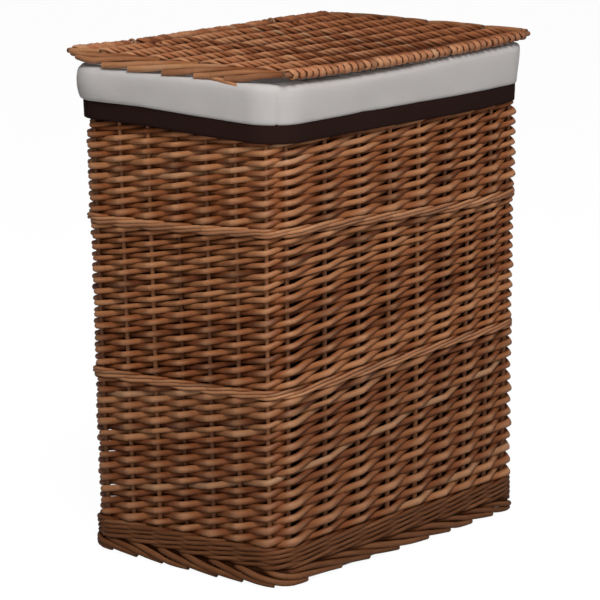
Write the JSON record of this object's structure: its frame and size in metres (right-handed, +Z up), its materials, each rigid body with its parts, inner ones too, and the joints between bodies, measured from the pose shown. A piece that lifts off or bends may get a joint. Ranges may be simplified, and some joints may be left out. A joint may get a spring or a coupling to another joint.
{
  "type": "woven laundry basket",
  "caption": "Upright rectangular laundry basket of woven brown willow, with a hinged woven lid and a white cotton liner folded over the rim with a dark hem band.",
  "frame": {"origin": "centre of the basket's footprint, on the floor", "axes": "+X along the basket's length, front facing -Y, lid hinge at +Y, +Z up"},
  "size_m": [0.4584, 0.308, 0.5566],
  "materials": {
    "woven_willow": "stained and clear-lacquered willow rods, satin",
    "willow_stake": "stained willow sticks, satin",
    "lid_willow": "stained and clear-lacquered willow rods, satin",
    "hinge_cane": "stained split cane, satin",
    "white_cotton": "plain-weave off-white cotton, matte",
    "brown_cotton": "plain-weave dark brown cotton, matte"
  },
  "bodies": {
    "basket": {"foot_border": "woven_willow", "bottom_wale": "woven_willow", "lower_weave": "woven_willow", "lower_wale": "woven_willow", "middle_weave": "woven_willow", "upper_wale": "woven_willow", "upper_weave": "woven_willow", "rim_border": "woven_willow", "base_weave": "woven_willow", "front_stakes": "willow_stake", "back_stakes": "willow_stake", "left_stakes": "willow_stake", "right_stakes": "willow_stake", "corner_stakes": "willow_stake", "base_sticks": "willow_stake", "hinge_loop_left": "hinge_cane", "hinge_loop_right": "hinge_cane", "liner_bag": "white_cotton", "liner_cuff": "white_cotton", "hem_band": "brown_cotton"},
    "lid": {"lid_weave": "lid_willow", "lid_left_pairing": "lid_willow", "lid_right_pairing": "lid_willow", "lid_front_stick": "willow_stake", "lid_back_stick": "willow_stake", "lid_inner_sticks": "willow_stake"}
  },
  "joints": [
    {"name": "lid_hinge", "type": "hinge", "parent": "basket", "child": "lid", "pos_m": [0, 0.1465, 0.5491], "axis": [-1, 0, 0], "range_deg": [0, 110]}
  ]
}
